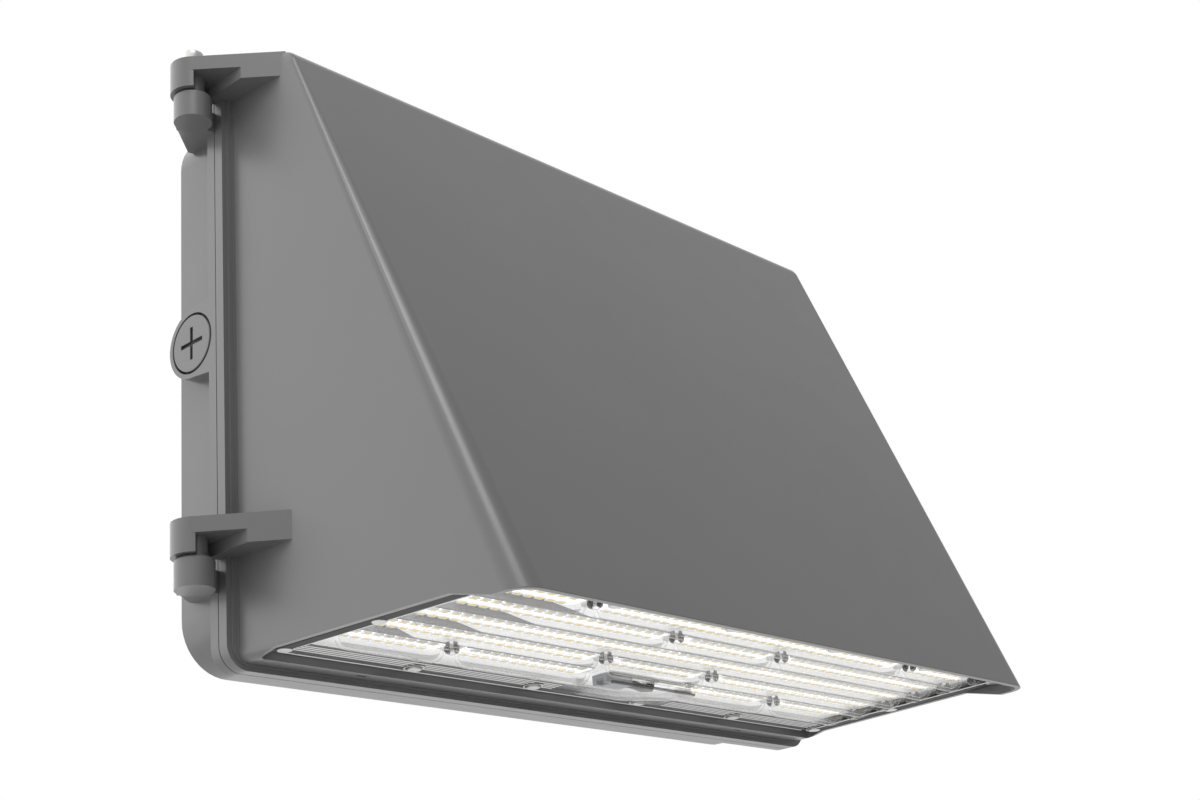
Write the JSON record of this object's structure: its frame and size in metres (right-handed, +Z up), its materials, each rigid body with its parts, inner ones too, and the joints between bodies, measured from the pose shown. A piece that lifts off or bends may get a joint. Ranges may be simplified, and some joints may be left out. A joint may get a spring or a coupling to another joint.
{
  "type": "wall pack light",
  "caption": "Full cut-off wall pack light: cast wall housing, hinged sloping hood, clear ribbed lens over rows of LEDs.",
  "frame": {"origin": "centre of the housing's flat wall face", "axes": "+X to the right seen from in front, -Y out from the wall towards the viewer, +Z up"},
  "size_m": [0.3778, 0.169, 0.2493],
  "materials": {
    "painted_casting": "satin mid-grey powder coat on die-cast aluminium",
    "steel": "zinc-plated",
    "bracket_steel": "galvanised sheet",
    "black_rubber": "matt silicone",
    "green_screw": "green passivated",
    "clear_lens": "clear moulded polycarbonate",
    "white_board": "white solder mask",
    "led_chips": "yellow phosphor",
    "grey_plastic": "moulded",
    "white_plastic": "moulded",
    "black_plastic": "moulded",
    "driver_shell": "white enamel",
    "cable_sheath": "matt PVC"
  },
  "bodies": {
    "housing": {"back_housing": "painted_casting", "door_gasket": "black_rubber", "hinge_pin_upper": "steel", "hinge_pin_lower": "steel", "ground_screw": "green_screw", "plug_seals": "black_rubber"},
    "door": {"door_hood": "painted_casting", "screw_retainers": "white_plastic", "lens": "clear_lens", "lens_gasket": "black_rubber", "lens_screws": "steel", "led_board": "white_board", "led_row_1": "led_chips", "led_row_2": "led_chips", "led_row_3": "led_chips", "led_row_4": "led_chips", "led_row_5": "led_chips", "board_screws": "steel", "led_connector": "grey_plastic", "cable_grommet": "black_rubber", "led_cable": "cable_sheath", "driver_bracket": "bracket_steel", "bracket_screws": "steel", "driver_case": "driver_shell", "driver_end_caps": "grey_plastic", "driver_screws": "steel", "surge_protector": "black_plastic", "surge_leads": "cable_sheath", "supply_connector": "white_plastic", "supply_cable": "cable_sheath"},
    "door_screw_upper": {"door_screw_upper": "steel"},
    "door_screw_lower": {"door_screw_lower": "steel"},
    "plug_left": {"plug_left": "painted_casting"},
    "plug_right": {"plug_right": "painted_casting"}
  },
  "joints": [
    {"name": "door_swing", "type": "hinge", "parent": "housing", "child": "door", "pos_m": [-0.1831, -0.0335, 0], "axis": [0, 0, -1], "range_deg": [0, 110]},
    {"name": "door_screw_upper_turn", "type": "hinge", "parent": "door", "child": "door_screw_upper", "pos_m": [0.1785, -0.0348, 0.08], "axis": [0, -1, 0], "continuous": true},
    {"name": "door_screw_lower_turn", "type": "hinge", "parent": "door", "child": "door_screw_lower", "pos_m": [0.1785, -0.0348, -0.08], "axis": [0, -1, 0], "continuous": true},
    {"name": "plug_left_turn", "type": "hinge", "parent": "housing", "child": "plug_left", "pos_m": [-0.171, -0.0156, 0.0114], "axis": [-1, 0, 0], "continuous": true},
    {"name": "plug_right_turn", "type": "hinge", "parent": "housing", "child": "plug_right", "pos_m": [0.171, -0.0156, 0.0114], "axis": [1, 0, 0], "continuous": true}
  ]
}
